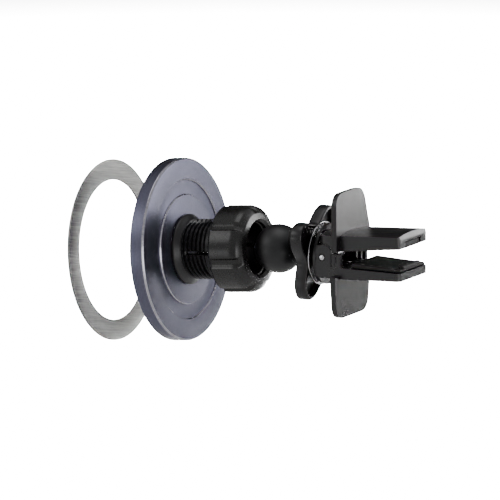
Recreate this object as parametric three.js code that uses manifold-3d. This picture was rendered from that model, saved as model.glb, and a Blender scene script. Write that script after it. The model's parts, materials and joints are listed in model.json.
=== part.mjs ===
// A magnetic car phone mount: a steel ring for the phone, an aluminium magnet disc with a threaded
// ball socket and its collar nut, and a vent clip with a ball, a clamping knob and two sprung jaws.
// Millimetres, +Z up. The clip lies along +X and the ball's centre is the origin of every size below.
import * as THREE from 'three';
import { mergeVertices } from 'three/addons/utils/BufferGeometryUtils.js';
import Module from 'manifold-3d';

const wasm = await Module();
wasm.setup();

// ---------------------------------------------------------------- driving sizes
const GAP = 0.3; // left between pieces that rest on each other
const SLOT = 0.25; // radial room round a pin, screw or thread

// pose at rest
const HEAD_PITCH = 5.5; // degrees that the disc hangs below the clip's line
const JAW_OPEN = 5.3; // degrees that the upper jaw stands open
const HEAD_TRAVEL = 12; // how far the head slides to seat on the ball
const TILT_LIMIT = 25; // degrees that the head tips on the ball each way

// ball
const BALL_R = 8.15;
const BALL_FLOOR = 0.8; // centre of the ball to the stud's end
const BALL_THROAT = 0.8; // of the throat's radius, at the bottom of the screw hole
const STUD_R = 1.5;

// magnet disc
const DISC_R = 30.4;
const DISC_THICKNESS = 5.3;
const DISC_BACK = -34.5; // the disc's back face, along the head's axis
const DISC_CHAMFER = 0.7;
const CHANNEL_INNER_R = 18;
const CHANNEL_OUTER_R = 23.35;
const CHANNEL_DEPTH = 0.7;
const BACK_PLATE = 1.7;
const RIM_WALL = 2;
const PAD_THICKNESS = 0.9;
const SHUNT_THICKNESS = 0.4;
const MAGNET_COUNT = 16;
const MAGNET_MARGIN = 1;
const MAGNET_WIDTH = 4.2;
const MAGNET_OUTER_R = DISC_R - RIM_WALL - MAGNET_MARGIN;
const MAGNET_INNER_R = MAGNET_OUTER_R - MAGNET_WIDTH;
const MAGNET_SPACING = 0.5;
const CARRIER_INNER_R = 10.5;

// phone ring
const RING_R = 30.2;
const RING_HOLE_R = 23.3;
const RING_THICKNESS = 0.5;
const RING_CENTRE = -62.7;
const FILM_THICKNESS = 0.3;
const FILM_MARGIN = 0.5;

// socket
const CUP_CLEARANCE = 0.3;
const CUP_R = BALL_R + CUP_CLEARANCE;
const FINGER_TIP_WALL = 0.9;
const FINGER_TIP_R = CUP_R + FINGER_TIP_WALL;
const FINGER_WALL = 1.55; // from the cup to the thread's crest
const THREAD_R = CUP_R + FINGER_WALL;
const THREAD_DEPTH = 0.8;
const THREAD_PITCH = 1.6;
const THREAD_TURNS = 6;
const THREAD_START = -32;
const FLANGE_MARGIN = 1.7;
const FLANGE_R = THREAD_R + FLANGE_MARGIN;
const FLANGE_EDGE = 0.8;
const FINGER_REACH = 3; // the fingers past the cup's centre
const FINGER_END = -HEAD_TRAVEL + FINGER_REACH;
const FINGER_TAPER = 4;
const SOCKET_SLOTS = 4;
const SOCKET_SLOT_WIDTH = 1.3;
const SOCKET_SLOT_BACK = -30.6;
const SOCKET_WALL = 2.6;
const FLANGE_SCREWS = 3;
const FLANGE_SCREW_CIRCLE_R = 6;
const FLANGE_SCREW_R = 1.1;
const FLANGE_SCREW_HEAD_R = 2.1;
const FLANGE_SCREW_HEAD = 1.2;
const FLANGE_SCREW_LENGTH = 9;

// collar nut
const NUT_WALL = 4.5; // from the thread's crest to a lobe
const NUT_R = THREAD_R + NUT_WALL;
const NUT_GROOVE = 1.1;
const NUT_GROOVE_SHARE = 0.27; // of a lobe's pitch
const NUT_GROOVE_STEEPNESS = 1.6;
const NUT_BACK = -19.3;
const NUT_REACH = 2.1; // the nut past the fingers
const NUT_FRONT = FINGER_END + NUT_REACH;
const NUT_LOBES = 7;
const NUT_TURN = 165; // degrees to a lobe's middle
const NUT_BACK_EDGE = 0.5;
const NUT_SHOULDER = 2.3; // the lobes end this far behind the face
const NUT_SHOULDER_DROP = 0.7;
const NUT_FACE_R = THREAD_R + 0.7;
const NUT_LIP = 1.8;
const NUT_MOUTH_R = BALL_R + 0.75;
const NUT_MOUTH_CHAMFER = 0.7;

// barrel, clamping knob and washer
const BARREL_R = 5;
const BALL_NECK = 0.45; // from the ball to the barrel
const BARREL_END_X = BALL_R + BALL_NECK;
const BARREL_NOSE_R = 3.2;
const BARREL_NOSE = 1.9;
const KNOB_STANDOFF = 2.8;
const KNOB_BACK = BARREL_END_X + KNOB_STANDOFF;
const KNOB_THICKNESS = 4.4;
const KNOB_TIP_R = 16.8;
const KNOB_VALLEY_R = 10.2;
const KNOB_LOBES = 4;
const KNOB_TURN = 57;
const KNOB_HUB_R = 8.6;
const KNOB_RIM = 1.2;
const KNOB_RECESS = 2;
const WASHER_R = 10.5;
const WASHER_THICKNESS = 0.5;
const WASHER_FACE = KNOB_BACK + KNOB_THICKNESS + GAP + WASHER_THICKNESS;
const STUD_END_X = WASHER_FACE - 0.2;

// clip body
const COLLAR_STANDOFF = 1.3; // room for the washer's travel
const COLLAR_X = WASHER_FACE + COLLAR_STANDOFF;
const COLLAR_THICKNESS = 1;
const COLLAR_MARGIN = 0.4;
const COLLAR_R = WASHER_R - COLLAR_MARGIN;
const BLOCK_X = COLLAR_X + COLLAR_THICKNESS;
const BLOCK_DEPTH = 2.6;
const BLOCK_TOP = 4.4;
const CLIP_WIDTH = 19.7;
const HALF = CLIP_WIDTH / 2;
const WALL = 1.6;
const INNER_HALF = HALF - WALL;
const JAW_TOP = -2.5;
const HEEL_BOTTOM = -6.2;
const HEEL_EDGE = 0.4;
const HEEL_RAMP = 1.2;
const TIP_BOTTOM = -5.2;
const PIN_BEHIND = 2.2; // from the block's back to the pin
const PIN_X = BLOCK_X + PIN_BEHIND;
const PIN_Z = 0.5;
const PIN_R = 0.9;
const PIN_PROUD = 0.15;
const TIP_X = PIN_X + 28.8;
const TIP_CORNER = 0.8;
const EAR_HALF = 2.6;
const EAR_OFFSET = 0.7; // the ear's middle ahead of the pin
const EAR_TOP = 4.4; // above the pin
const RIB_SPACING = 1.8;
const RIB_WIDTH = 1.3;
const RIB_X = PIN_X + 4.3;
const RIB_TOP = 1.95;

// wings
const WING_THICKNESS = 1.9;
const WING_HALF_BASE = HALF + 2.8;
const WING_CORNER = 4.6;
const LOWER_WING_X = PIN_X + 4.4;
const LOWER_WING_END = -19.7;
const LOWER_WING_HALF_END = HALF + 1.2;

// upper jaw, in its own frame: x along the jaw from the pin, z up from the pin
const UPPER_HEEL_X = -0.8;
const UPPER_TIP_X = 28.9;
const UPPER_TIP_SLANT = 0.5;
const UPPER_TIP_EDGE = 0.8;
const UPPER_TOP = 7;
const UPPER_TIP_TOP = 6.3;
const UPPER_CROWN = 0.8; // how much the top's middle stands above its sides
const UPPER_ROOF = 1.8;
const UPPER_SIDE_BACK = 1.9; // underside of the side wall at the pin
const UPPER_SIDE_TIP = 2.4;
const UPPER_WING_X = 5.3;
const UPPER_WING_TOP = 20.8;
const UPPER_WING_HALF_END = HALF - 0.15;
const HEEL_CORNER = 2.5;
const LUG_R = 2.3;
const LUG_THICKNESS = 2.2;
const LUG_MARGIN = 0.55;
const LUG_Y = INNER_HALF - LUG_MARGIN - LUG_THICKNESS / 2;
const LUG_WEB_BACK = 0.8;
const NOTCH_HALF = 5.5;
const NOTCH_TOP = 4.5;

// rubber pads
const PAD_BACK_X = PIN_X + 10.6;
const PAD_HALF = HALF - 1;
const PAD_SETBACK = 0.4;
const LOWER_PAD_BACK = 1.4; // its thickness at the back
const LOWER_PAD_TIP = 0.7;
const PAD_LIP = 1;
const PAD_LIP_HALF = HALF - 3.8;
const PAD_LIP_DEPTH = 2.2;
const PAD_LIP_EDGE = 0.5;
const UPPER_PAD_BACK = 9.5;
const PAD_PROUD = 0.2;

// spring
const WIRE_R = 0.4;
const COIL_R = 1.9;
const COIL_TURNS = 4.5;
const COIL_HALF = 2.3;
const LEG_REACH = 7;
const LEG_SHARE = 0.12; // of the wire's length
const LEG_RISE = 0.45; // the upper leg's slope
const LEG_DROP = 0.3;

// vent blade grip, the part's origin
const GRIP_X = PIN_X + 18.9;
const GRIP_Z = 0.8;

// facets
const DISC_SIDES = 56;
const HEAD_SIDES = 36;
const SMALL_SIDES = 16;
const CROWN_STEPS = 8;
const CURVE_STEPS = 6;

const rad = THREE.MathUtils.degToRad;

// ---------------------------------------------------------------- finishes
function finish(color, roughness, metalness) {
  return new THREE.MeshStandardMaterial({ color, roughness, metalness });
}

const anodised = finish(0x5d5f73, 0.42, 0.8);
const brushedSteel = finish(0x8f8f8f, 0.38, 1);
const chrome = finish(0xd8d8dc, 0.12, 1);
const zincSteel = finish(0xb4b4b8, 0.35, 1);
const magnetNickel = finish(0xa7a6a3, 0.3, 1);
const blackPlastic = finish(0x1c1b1d, 0.42, 0);
const ballRubber = finish(0x161618, 0.75, 0);
const padRubber = finish(0x101011, 0.85, 0);
const softPad = finish(0x2a2b30, 0.8, 0);
const tapeFilm = finish(0xdedede, 0.6, 0);

// ---------------------------------------------------------------- solids
/** The geometry with shared corners merged and collapsed faces dropped. */
function merged(geometry) {
  const bare = new THREE.BufferGeometry();
  bare.setAttribute('position', geometry.getAttribute('position').clone());
  if (geometry.index) bare.setIndex(geometry.index.clone());
  const joined = mergeVertices(bare, 1e-4);
  const faces = joined.index.array;
  const kept = [];
  for (let i = 0; i < faces.length; i += 3) {
    const [a, b, c] = [faces[i], faces[i + 1], faces[i + 2]];
    if (a !== b && b !== c && c !== a) kept.push(a, b, c);
  }
  joined.setIndex(kept);
  return joined;
}

/** Six times the volume that the faces enclose, below zero when they point inwards. */
function enclosed(geometry) {
  const at = geometry.getAttribute('position');
  const faces = geometry.index.array;
  const [a, b, c] = [new THREE.Vector3(), new THREE.Vector3(), new THREE.Vector3()];
  let sum = 0;
  for (let i = 0; i < faces.length; i += 3) {
    a.fromBufferAttribute(at, faces[i]);
    b.fromBufferAttribute(at, faces[i + 1]);
    c.fromBufferAttribute(at, faces[i + 2]);
    sum += a.dot(b.cross(c));
  }
  return sum;
}

/** A closed three.js geometry as a solid that can be cut and joined. */
function solid(geometry) {
  const closed = merged(geometry);
  const triVerts = new Uint32Array(closed.index.array);
  if (enclosed(closed) < 0) triVerts.reverse();
  const vertProperties = new Float32Array(closed.getAttribute('position').array);
  return new wasm.Manifold(new wasm.Mesh({ numProp: 3, vertProperties, triVerts }));
}

/** A solid turned back into a geometry. */
function geometryOf(body) {
  const mesh = body.getMesh();
  const geometry = new THREE.BufferGeometry();
  geometry.setAttribute('position', new THREE.BufferAttribute(mesh.vertProperties, 3));
  geometry.setIndex(new THREE.BufferAttribute(mesh.triVerts, 1));
  geometry.computeVertexNormals();
  return geometry;
}

/** A solid turned about the X axis from [radius, x] points. */
function turned(points, sides) {
  const profile = points.map(([radius, x]) => new THREE.Vector2(radius, x));
  return solid(new THREE.LatheGeometry(profile, sides).rotateZ(-Math.PI / 2));
}

/** A ring turned about the X axis between two radii and two places along it. */
function ring(inner, outer, from, to, sides) {
  return turned([[inner, from], [outer, from], [outer, to], [inner, to], [inner, from]], sides);
}

/** A round bar along X. */
function bar(radius, from, to, sides) {
  return turned([[0, from], [radius, from], [radius, to], [0, to]], sides);
}

/** A block between two corners. */
function block([x0, y0, z0], [x1, y1, z1]) {
  const box = new THREE.BoxGeometry(x1 - x0, y1 - y0, z1 - z0);
  return solid(box.translate((x0 + x1) / 2, (y0 + y1) / 2, (z0 + z1) / 2));
}

/** A closed outline of [u, v] points. */
function outline(points) {
  return new THREE.Shape(points.map(([u, v]) => new THREE.Vector2(u, v)));
}

/** An outline drawn in Y and Z, drawn out along X. */
function alongX(shape, from, to) {
  const turn = new THREE.Matrix4().makeBasis(
    new THREE.Vector3(0, 1, 0), new THREE.Vector3(0, 0, 1), new THREE.Vector3(1, 0, 0));
  const drawn = new THREE.ExtrudeGeometry(
    shape, { depth: to - from, bevelEnabled: false, curveSegments: CURVE_STEPS });
  return solid(drawn.applyMatrix4(turn).translate(from, 0, 0));
}

/** An outline drawn in X and Z, drawn out along Y. */
function alongY(shape, from, to) {
  const drawn = new THREE.ExtrudeGeometry(shape, { depth: to - from, bevelEnabled: false });
  return solid(drawn.rotateX(Math.PI / 2).translate(0, to, 0));
}

/** An outline drawn in X and Y, drawn out along Z. */
function alongZ(shape, from, to) {
  const drawn = new THREE.ExtrudeGeometry(shape, { depth: to - from, bevelEnabled: false });
  return solid(drawn.translate(0, 0, from));
}

/** A round bar along Y through a point of the X and Z plane. */
function crossBar(radius, x, z, from, to, sides) {
  const drawn = new THREE.CylinderGeometry(radius, radius, to - from, sides);
  return solid(drawn.translate(x, (from + to) / 2, z));
}

/** A ring-like outline in Y and Z whose radius follows the angle. */
function polar(radiusAt, steps) {
  const points = [];
  for (let i = 0; i < steps; i += 1) {
    const angle = (i / steps) * 2 * Math.PI;
    points.push([radiusAt(angle) * Math.cos(angle), radiusAt(angle) * Math.sin(angle)]);
  }
  return outline(points);
}

/** A solid as a named mesh. */
function piece(name, body, material) {
  const mesh = new THREE.Mesh(geometryOf(body), material);
  mesh.name = name;
  return mesh;
}

// ---------------------------------------------------------------- phone ring
const ringBack = RING_CENTRE + RING_THICKNESS / 2;
const ringFront = RING_CENTRE - RING_THICKNESS / 2;

function steelRing() {
  return ring(RING_HOLE_R, RING_R, ringFront, ringBack, DISC_SIDES);
}

function ringAdhesive() {
  const back = ringFront - GAP;
  return ring(RING_HOLE_R + FILM_MARGIN, RING_R - FILM_MARGIN, back - FILM_THICKNESS, back, DISC_SIDES);
}

// ---------------------------------------------------------------- magnet disc
const discFront = DISC_BACK - DISC_THICKNESS;
const cavityR = DISC_R - RIM_WALL;
const cavityFloor = DISC_BACK - BACK_PLATE;
const padBack = discFront + PAD_THICKNESS;
const shuntBack = cavityFloor - GAP;
const magnetBack = shuntBack - SHUNT_THICKNESS - GAP;
const magnetFront = padBack + GAP;

/** Angle of one of the flange screws. */
function screwAngle(index) {
  return ((index + 0.5) / FLANGE_SCREWS) * 2 * Math.PI;
}

/** A bar along the head's axis at a flange screw's place. */
function atScrew(index, body) {
  const angle = screwAngle(index);
  return body.translate([
    0, FLANGE_SCREW_CIRCLE_R * Math.cos(angle), FLANGE_SCREW_CIRCLE_R * Math.sin(angle)]);
}

function discHousing() {
  const channelFloor = DISC_BACK - CHANNEL_DEPTH;
  let body = turned([
    [0, DISC_BACK],
    [CHANNEL_INNER_R, DISC_BACK],
    [CHANNEL_INNER_R, channelFloor],
    [CHANNEL_OUTER_R, channelFloor],
    [CHANNEL_OUTER_R, DISC_BACK],
    [DISC_R - DISC_CHAMFER, DISC_BACK],
    [DISC_R, DISC_BACK - DISC_CHAMFER],
    [DISC_R, discFront + DISC_CHAMFER],
    [DISC_R - DISC_CHAMFER, discFront],
    [cavityR, discFront],
    [cavityR, cavityFloor],
    [0, cavityFloor],
  ], DISC_SIDES);
  const hole = bar(FLANGE_SCREW_R + SLOT, cavityFloor - 1, DISC_BACK + 1, SMALL_SIDES);
  for (let i = 0; i < FLANGE_SCREWS; i += 1) body = body.subtract(atScrew(i, hole));
  return body;
}

function facePad() {
  return bar(cavityR - GAP, discFront, padBack, DISC_SIDES);
}

function shuntRing() {
  return ring(MAGNET_INNER_R, MAGNET_OUTER_R, shuntBack - SHUNT_THICKNESS, shuntBack, DISC_SIDES);
}

/** A tray between the screws and the magnets that keeps the magnets in their circle. */
function magnetCarrier() {
  return ring(CARRIER_INNER_R, MAGNET_INNER_R - GAP, magnetFront, shuntBack, HEAD_SIDES);
}

function magnet(index) {
  const pitch = (2 * Math.PI) / MAGNET_COUNT;
  const halfTurn = pitch / 2 - MAGNET_SPACING / 2 / MAGNET_INNER_R;
  const middle = index * pitch;
  const shape = new THREE.Shape();
  shape.absarc(0, 0, MAGNET_OUTER_R, middle - halfTurn, middle + halfTurn, false);
  shape.absarc(0, 0, MAGNET_INNER_R, middle + halfTurn, middle - halfTurn, true);
  return alongX(shape, magnetFront, magnetBack);
}

function flangeScrew(index) {
  const under = cavityFloor - GAP;
  return atScrew(index, turned([
    [0, under - FLANGE_SCREW_HEAD],
    [FLANGE_SCREW_HEAD_R, under - FLANGE_SCREW_HEAD],
    [FLANGE_SCREW_HEAD_R, under],
    [FLANGE_SCREW_R, under],
    [FLANGE_SCREW_R, under + FLANGE_SCREW_LENGTH],
    [0, under + FLANGE_SCREW_LENGTH],
  ], SMALL_SIDES));
}

// ---------------------------------------------------------------- socket and nut
const flangeFace = DISC_BACK + GAP;
const cupCentre = -HEAD_TRAVEL;

/** The socket's outside, from the flange over the thread to the finger tips. */
function socketProfile() {
  const points = [
    [0, flangeFace],
    [FLANGE_R, flangeFace],
    [FLANGE_R, flangeFace + FLANGE_EDGE],
    [THREAD_R, THREAD_START],
  ];
  for (let turn = 0; turn < THREAD_TURNS; turn += 1) {
    const crest = THREAD_START + turn * THREAD_PITCH;
    points.push([THREAD_R, crest + THREAD_PITCH * 0.25]);
    points.push([THREAD_R - THREAD_DEPTH, crest + THREAD_PITCH * 0.5]);
    points.push([THREAD_R - THREAD_DEPTH, crest + THREAD_PITCH * 0.75]);
    points.push([THREAD_R, crest + THREAD_PITCH]);
  }
  points.push([THREAD_R, FINGER_END - FINGER_TAPER]);
  points.push([FINGER_TIP_R, FINGER_END]);
  points.push([0, FINGER_END]);
  return points;
}

/** The space inside the socket: the ball's cup, and the bore behind it that lets the fingers flex. */
function socketHollow() {
  const bore = bar(THREAD_R - SOCKET_WALL, SOCKET_SLOT_BACK, cupCentre, SMALL_SIDES);
  const cup = bar(CUP_R, cupCentre, FINGER_END + 1, HEAD_SIDES);
  const sphere = new THREE.SphereGeometry(CUP_R, HEAD_SIDES / 2, SMALL_SIDES);
  const bowl = solid(sphere.translate(cupCentre, 0, 0));
  return bore.add(cup).add(bowl);
}

function socketNeck() {
  let body = turned(socketProfile(), HEAD_SIDES).subtract(socketHollow());
  const half = SOCKET_SLOT_WIDTH / 2;
  const slot = block([SOCKET_SLOT_BACK, -half, 0], [0, half, THREAD_R + 1]);
  for (let i = 0; i < SOCKET_SLOTS; i += 1) {
    body = body.subtract(slot.rotate([(i * 360) / SOCKET_SLOTS, 0, 0]));
  }
  const end = cavityFloor + FLANGE_SCREW_LENGTH;
  const hole = bar(FLANGE_SCREW_R + SLOT, flangeFace - 1, end, SMALL_SIDES);
  for (let i = 0; i < FLANGE_SCREWS; i += 1) body = body.subtract(atScrew(i, hole));
  return body;
}

/** The nut's outline: broad lobes with a narrow round-bottomed groove between each two. */
function nutRadius(angle) {
  const pitch = (2 * Math.PI) / NUT_LOBES;
  const turn = (angle - rad(NUT_TURN)) / pitch;
  const fromMiddle = Math.abs(turn - Math.round(turn));
  const grooveHalf = NUT_GROOVE_SHARE / 2;
  const inGroove = Math.max(0, (fromMiddle - (0.5 - grooveHalf)) / grooveHalf);
  return NUT_R - NUT_GROOVE * Math.sin(Math.min(1, inGroove * NUT_GROOVE_STEEPNESS) * Math.PI / 2);
}

function collarNut() {
  const lobes = alongX(polar(nutRadius, NUT_LOBES * 12), NUT_BACK, NUT_FRONT);
  const lobesEnd = NUT_FRONT - NUT_SHOULDER;
  const outside = NUT_R / Math.cos(Math.PI / HEAD_SIDES);
  const shell = turned([
    [0, NUT_BACK],
    [outside - NUT_BACK_EDGE, NUT_BACK],
    [outside, NUT_BACK + NUT_BACK_EDGE],
    [outside, lobesEnd - NUT_SHOULDER],
    [outside - NUT_SHOULDER_DROP, lobesEnd],
    [outside - 2 * NUT_SHOULDER_DROP, lobesEnd + NUT_SHOULDER_DROP],
    [NUT_FACE_R, NUT_FRONT],
    [0, NUT_FRONT],
  ], HEAD_SIDES);
  const mouthEnd = NUT_FRONT + 1;
  const bore = turned([
    [0, NUT_BACK - 1],
    [THREAD_R + GAP, NUT_BACK - 1],
    [THREAD_R + GAP, FINGER_END - FINGER_TAPER],
    [FINGER_TIP_R + GAP, FINGER_END],
    [FINGER_TIP_R + GAP, NUT_FRONT - NUT_LIP],
    [NUT_MOUTH_R, NUT_FRONT - NUT_LIP + GAP],
    [NUT_MOUTH_R, NUT_FRONT - NUT_MOUTH_CHAMFER],
    [NUT_MOUTH_R + NUT_MOUTH_CHAMFER + 1, mouthEnd],
    [0, mouthEnd],
  ], HEAD_SIDES);
  return lobes.intersect(shell).subtract(bore);
}

// ---------------------------------------------------------------- ball, stud and knob
/** A ball whose screw hole widens outwards, so that it can tip on its stud. */
function ball() {
  const sphere = solid(new THREE.SphereGeometry(BALL_R, 28, 18));
  const throat = STUD_R / Math.cos(rad(TILT_LIMIT)) + SLOT;
  const rim = BALL_R + 1;
  const flare = turned([
    [0, -throat],
    [throat * BALL_THROAT, -throat],
    [throat, 0],
    [throat + rim * Math.tan(rad(TILT_LIMIT)), rim],
    [0, rim],
  ], 24);
  return sphere.subtract(flare);
}

function ballStud() {
  return bar(STUD_R, BALL_FLOOR, STUD_END_X, SMALL_SIDES);
}

/** The knob's outline: rounded lobes with hollows between them, grown or shrunk by an amount. */
function knobOutline(grow) {
  const middle = (KNOB_TIP_R + KNOB_VALLEY_R) / 2;
  const swing = (KNOB_TIP_R - KNOB_VALLEY_R) / 2;
  const radiusAt = (angle) => middle + grow + swing * Math.cos(KNOB_LOBES * (angle - rad(KNOB_TURN)));
  return polar(radiusAt, KNOB_LOBES * 16);
}

function clampKnob() {
  const front = KNOB_BACK + KNOB_THICKNESS;
  const body = alongX(knobOutline(0), KNOB_BACK, front);
  const recess = alongX(knobOutline(-KNOB_RIM), front - KNOB_RECESS, front + 1);
  const hub = bar(KNOB_HUB_R, front - KNOB_RECESS, front, HEAD_SIDES);
  const bore = bar(BARREL_R + GAP, KNOB_BACK - 1, front + 1, HEAD_SIDES);
  return body.subtract(recess.subtract(hub)).subtract(bore);
}

function clampWasher() {
  return ring(BARREL_R + GAP, WASHER_R, WASHER_FACE - WASHER_THICKNESS, WASHER_FACE, HEAD_SIDES);
}

// ---------------------------------------------------------------- clip body
/** A plate across the clip, from its root to its end, whose sides lean in to rounded corners. */
function wingOutline(from, to, halfEnd) {
  const way = Math.sign(to - from);
  const lean = (WING_HALF_BASE - halfEnd) / Math.abs(to - from);
  const atEnd = halfEnd + lean * WING_CORNER;
  const shape = new THREE.Shape();
  shape.moveTo(-WING_HALF_BASE, from);
  shape.lineTo(-atEnd, to - way * WING_CORNER);
  shape.quadraticCurveTo(-halfEnd, to, -halfEnd + WING_CORNER, to);
  shape.lineTo(halfEnd - WING_CORNER, to);
  shape.quadraticCurveTo(halfEnd, to, atEnd, to - way * WING_CORNER);
  shape.lineTo(WING_HALF_BASE, from);
  shape.closePath();
  return shape;
}

/** The jaw's plan: square at the back, with cut corners at the tip. */
function lowerPlan() {
  return outline([
    [BLOCK_X, -HALF], [TIP_X - TIP_CORNER, -HALF], [TIP_X, -HALF + TIP_CORNER],
    [TIP_X, HALF - TIP_CORNER], [TIP_X - TIP_CORNER, HALF], [BLOCK_X, HALF]]);
}

function ear(side) {
  const shape = new THREE.Shape();
  const middle = PIN_X + EAR_OFFSET;
  const archZ = PIN_Z + EAR_TOP - EAR_HALF;
  shape.moveTo(middle - EAR_HALF, JAW_TOP - 1);
  shape.lineTo(middle + EAR_HALF, JAW_TOP - 1);
  shape.lineTo(middle + EAR_HALF, archZ);
  shape.absarc(middle, archZ, EAR_HALF, 0, Math.PI, false);
  shape.closePath();
  const [from, to] = side > 0 ? [INNER_HALF, HALF] : [-HALF, -INNER_HALF];
  return alongY(shape, from, to);
}

/** The round collar and the block behind the pin, hollowed round the spring and lugs. */
function barrelBlock() {
  const blockEnd = BLOCK_X + BLOCK_DEPTH;
  const across = INNER_HALF - GAP / 2;
  const wide = block([BLOCK_X, -HALF, HEEL_BOTTOM], [blockEnd, HALF, BLOCK_TOP]);
  const round = bar(WASHER_R, BLOCK_X, blockEnd, HEAD_SIDES);
  const collar = bar(COLLAR_R, COLLAR_X, BLOCK_X, HEAD_SIDES);
  const pocket = crossBar(LUG_R + GAP, PIN_X, PIN_Z, -across, across, SMALL_SIDES);
  const front = block(
    [PIN_X - LUG_R * Math.SQRT1_2, -across, JAW_TOP + GAP / 2], [blockEnd + 1, across, BLOCK_TOP + 1]);
  return wide.intersect(round).add(collar).subtract(pocket).subtract(front);
}

function barrel() {
  const end = COLLAR_X + GAP;
  const body = turned([
    [0, BARREL_END_X], [BARREL_NOSE_R, BARREL_END_X], [BARREL_R, BARREL_END_X + BARREL_NOSE],
    [BARREL_R, end], [0, end]], HEAD_SIDES);
  return body.subtract(bar(STUD_R + SLOT, BARREL_END_X - 1, STUD_END_X + GAP, SMALL_SIDES));
}

/** Two upright ribs on one side between the ear and the wing. */
function ribs(side) {
  const [from, to] = side > 0 ? [HALF - RIB_WIDTH, HALF] : [-HALF, RIB_WIDTH - HALF];
  const rib = block([RIB_X - RIB_WIDTH / 2, from, JAW_TOP - 1], [RIB_X + RIB_WIDTH / 2, to, RIB_TOP]);
  return rib.add(rib.translate([RIB_SPACING, 0, 0]));
}

function clipBody() {
  const profile = outline([
    [BLOCK_X, HEEL_BOTTOM + HEEL_EDGE], [BLOCK_X + HEEL_RAMP, HEEL_BOTTOM],
    [LOWER_WING_X + WING_THICKNESS, HEEL_BOTTOM],
    [TIP_X, TIP_BOTTOM], [TIP_X, JAW_TOP], [BLOCK_X, JAW_TOP]]);
  const floor = alongY(profile, -HALF, HALF).intersect(alongZ(lowerPlan(), HEEL_BOTTOM - 1, BLOCK_TOP));
  const wing = alongX(
    wingOutline(HEEL_BOTTOM + 1, LOWER_WING_END, LOWER_WING_HALF_END),
    LOWER_WING_X, LOWER_WING_X + WING_THICKNESS);
  const bore = crossBar(PIN_R + SLOT, PIN_X, PIN_Z, -HALF - 1, HALF + 1, SMALL_SIDES);
  return floor.add(barrelBlock()).add(barrel()).add(wing)
    .add(ear(1)).add(ear(-1)).add(ribs(1)).add(ribs(-1)).subtract(bore);
}

function pivotPin() {
  return crossBar(PIN_R, PIN_X, PIN_Z, -HALF - PIN_PROUD, HALF + PIN_PROUD, SMALL_SIDES);
}

/** A rubber strip on the lower jaw, thinning towards the tip, with a narrower lip at its end. */
function lowerPad() {
  const bottom = JAW_TOP + GAP;
  const top = bottom + LOWER_PAD_TIP;
  const front = TIP_X - PAD_SETBACK;
  const strip = alongY(outline([
    [PAD_BACK_X, bottom], [front, bottom], [front, top], [PAD_BACK_X, bottom + LOWER_PAD_BACK],
  ]), -PAD_HALF, PAD_HALF);
  const lip = alongY(outline([
    [front - PAD_LIP_DEPTH, bottom],
    [front, bottom],
    [front, top + PAD_LIP - PAD_LIP_EDGE],
    [front - PAD_LIP_EDGE, top + PAD_LIP],
    [front - PAD_LIP_DEPTH + PAD_LIP_EDGE, top + PAD_LIP],
    [front - PAD_LIP_DEPTH, top],
  ]), -PAD_LIP_HALF, PAD_LIP_HALF);
  return strip.add(lip);
}

// ---------------------------------------------------------------- upper jaw, in its own frame
/** Height of the side walls' underside along the jaw. */
function undersideAt(x) {
  return UPPER_SIDE_BACK + ((UPPER_SIDE_TIP - UPPER_SIDE_BACK) * x) / UPPER_TIP_X;
}

/** The upper jaw's plan: rounded behind the pin, with cut corners at the tip. */
function upperPlan() {
  const shape = new THREE.Shape();
  const end = UPPER_TIP_X + UPPER_TIP_SLANT;
  shape.moveTo(UPPER_HEEL_X, -HALF + HEEL_CORNER);
  shape.quadraticCurveTo(UPPER_HEEL_X, -HALF, UPPER_HEEL_X + HEEL_CORNER, -HALF);
  shape.lineTo(end - TIP_CORNER, -HALF);
  shape.lineTo(end, -HALF + TIP_CORNER);
  shape.lineTo(end, HALF - TIP_CORNER);
  shape.lineTo(end - TIP_CORNER, HALF);
  shape.lineTo(UPPER_HEEL_X + HEEL_CORNER, HALF);
  shape.quadraticCurveTo(UPPER_HEEL_X, HALF, UPPER_HEEL_X, HALF - HEEL_CORNER);
  return shape;
}

/** The space under the jaw's arched top, which falls towards the tip as the top does. */
function underCrown() {
  const points = [[HALF + 1, 0], [-HALF - 1, 0]];
  for (let i = 0; i <= CROWN_STEPS; i += 1) {
    const across = (2 * i) / CROWN_STEPS - 1;
    points.push([across * (HALF + 1), UPPER_TOP + UPPER_CROWN * (1 - across * across)]);
  }
  const fall = Math.atan2(UPPER_TOP - UPPER_TIP_TOP, UPPER_TIP_X - UPPER_WING_X);
  const arch = alongX(outline(points), UPPER_HEEL_X - UPPER_TIP_X, 2 * UPPER_TIP_X);
  return arch.translate([-UPPER_WING_X, 0, -UPPER_TOP]).rotate([0, THREE.MathUtils.radToDeg(fall), 0])
    .translate([UPPER_WING_X, 0, UPPER_TOP]);
}

function lug(side) {
  const y = side * LUG_Y;
  const from = y - LUG_THICKNESS / 2;
  const to = y + LUG_THICKNESS / 2;
  const web = block([-LUG_WEB_BACK, from, 0], [LUG_R, to, UPPER_TOP - UPPER_ROOF + GAP]);
  return web.add(crossBar(LUG_R, 0, 0, from, to, SMALL_SIDES));
}

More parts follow.
